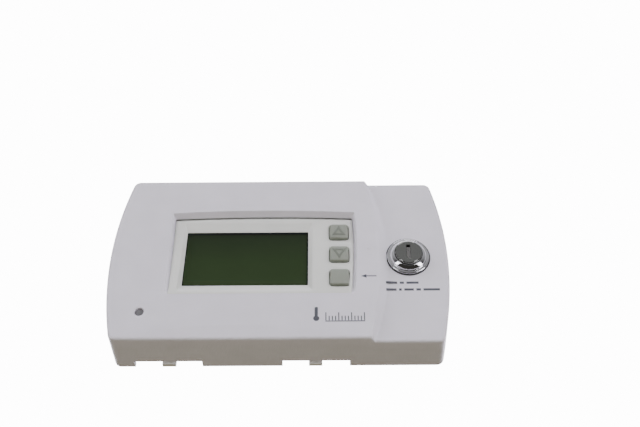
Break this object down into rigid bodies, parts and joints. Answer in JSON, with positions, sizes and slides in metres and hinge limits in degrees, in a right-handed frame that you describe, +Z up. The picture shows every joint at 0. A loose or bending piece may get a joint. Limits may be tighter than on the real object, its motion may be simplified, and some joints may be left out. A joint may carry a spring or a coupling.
{
  "type": "wall thermostat",
  "caption": "Wall thermostat with a recessed display, push buttons, a key switch on a lower side section, and a wall plate the front unit swings onto.",
  "frame": {"origin": "on the wall, at the centre of the wall plate's screw hole pattern", "axes": "+Z up the wall, +X to the viewer's right, +Y into the wall; the front faces -Y"},
  "size_m": [0.184, 0.0294, 0.1039],
  "materials": {
    "case_plastic": "fine moulded texture",
    "panel_plastic": "fine moulded texture",
    "plate_plastic": "satin moulded",
    "latch_plastic": "satin moulded",
    "cover_plastic": "satin moulded",
    "button_plastic": "fine moulded texture",
    "plunger_plastic": "satin",
    "block_plastic": "satin moulded",
    "black_plastic": "satin",
    "holder_plastic": "satin moulded",
    "relay_plastic": "gloss",
    "lens_plastic": "smoked, translucent",
    "lcd_glass": "gloss",
    "rear_glass": "gloss",
    "light_guide": "clear",
    "silicone": "matt",
    "gasket_rubber": "matt",
    "board_laminate": "solder mask",
    "chip_plastic": "matt",
    "capacitor_sleeve": "sleeve and aluminium top",
    "sensor_coat": "dipped coat",
    "lock_chrome": "polished",
    "plug_metal": "polished",
    "rotor_steel": "brushed",
    "shutter_steel": "satin",
    "nut_steel": "zinc plated",
    "screw_steel": "zinc plated",
    "dark_screw": "black oxide",
    "dome_steel": "polished",
    "clamp_brass": "plated",
    "pin_gold": "plated",
    "wafer_brass": "satin",
    "wire_sleeve": "gloss",
    "wire_plug_plastic": "satin"
  },
  "bodies": {
    "wall_plate": {"wall_plate": "plate_plastic", "terminal_block": "block_plastic", "terminal_clamps": "clamp_brass", "terminal_screws": "dark_screw"},
    "front": {"front_case": "case_plastic", "display_panel": "panel_plastic", "rear_cover": "cover_plastic", "case_screws": "screw_steel", "circuit_board": "board_laminate", "control_chips": "chip_plastic", "relays": "relay_plastic", "capacitors": "capacitor_sleeve", "temperature_sensor": "sensor_coat", "contact_header": "black_plastic", "contact_pins": "pin_gold", "lcd_front_glass": "lcd_glass", "lcd_rear_glass": "rear_glass", "lcd_light_guide": "light_guide", "lcd_holder": "holder_plastic", "zebra_strips": "silicone", "switch_bases": "black_plastic", "switch_domes": "dome_steel", "indicator_lens": "lens_plastic", "indicator_led": "light_guide", "lock_housing": "lock_chrome", "lock_gasket": "gasket_rubber", "lock_nut": "nut_steel", "lock_washer": "nut_steel", "switch_block": "black_plastic", "switch_terminals": "clamp_brass", "switch_wires": "wire_sleeve", "wire_plug": "wire_plug_plastic"},
    "key_plug": {"lock_plug": "plug_metal", "key_shutter": "shutter_steel", "plug_wafers": "wafer_brass", "lock_rotor": "rotor_steel"},
    "button_up": {"button_up": "button_plastic", "plunger_up": "plunger_plastic"},
    "button_down": {"button_down": "button_plastic", "plunger_down": "plunger_plastic"},
    "button_start": {"button_start": "button_plastic", "plunger_start": "plunger_plastic"},
    "latch_left": {"latch_left": "latch_plastic"},
    "latch_right": {"latch_right": "latch_plastic"}
  },
  "joints": [
    {"name": "front_swing", "type": "hinge", "parent": "wall_plate", "child": "front", "pos_m": [0, -0.00095, 0.04995], "axis": [-1, 0, 0], "range_deg": [0, 45]},
    {"name": "key_turn", "type": "hinge", "parent": "front", "child": "key_plug", "pos_m": [0.08775, -0.02, 0.001], "axis": [0, 1, 0], "range_deg": [0, 90]},
    {"name": "button_up_press", "type": "slide", "parent": "front", "child": "button_up", "axis": [0, 1, 0], "range_m": [0, 0.0005], "stiffness_N_per_m": 1200},
    {"name": "button_down_press", "type": "slide", "parent": "front", "child": "button_down", "axis": [0, 1, 0], "range_m": [0, 0.0005], "stiffness_N_per_m": 1200},
    {"name": "button_start_press", "type": "slide", "parent": "front", "child": "button_start", "axis": [0, 1, 0], "range_m": [0, 0.0005], "stiffness_N_per_m": 1200},
    {"name": "latch_left_press", "type": "hinge", "parent": "wall_plate", "child": "latch_left", "pos_m": [-0.038, -0.0014, -0.0423], "axis": [-1, 0, 0], "range_deg": [0, 8], "stiffness_Nm_per_rad": 0.3},
    {"name": "latch_right_press", "type": "hinge", "parent": "wall_plate", "child": "latch_right", "pos_m": [0.038, -0.0014, -0.0423], "axis": [-1, 0, 0], "range_deg": [0, 8], "stiffness_Nm_per_rad": 0.3}
  ]
}
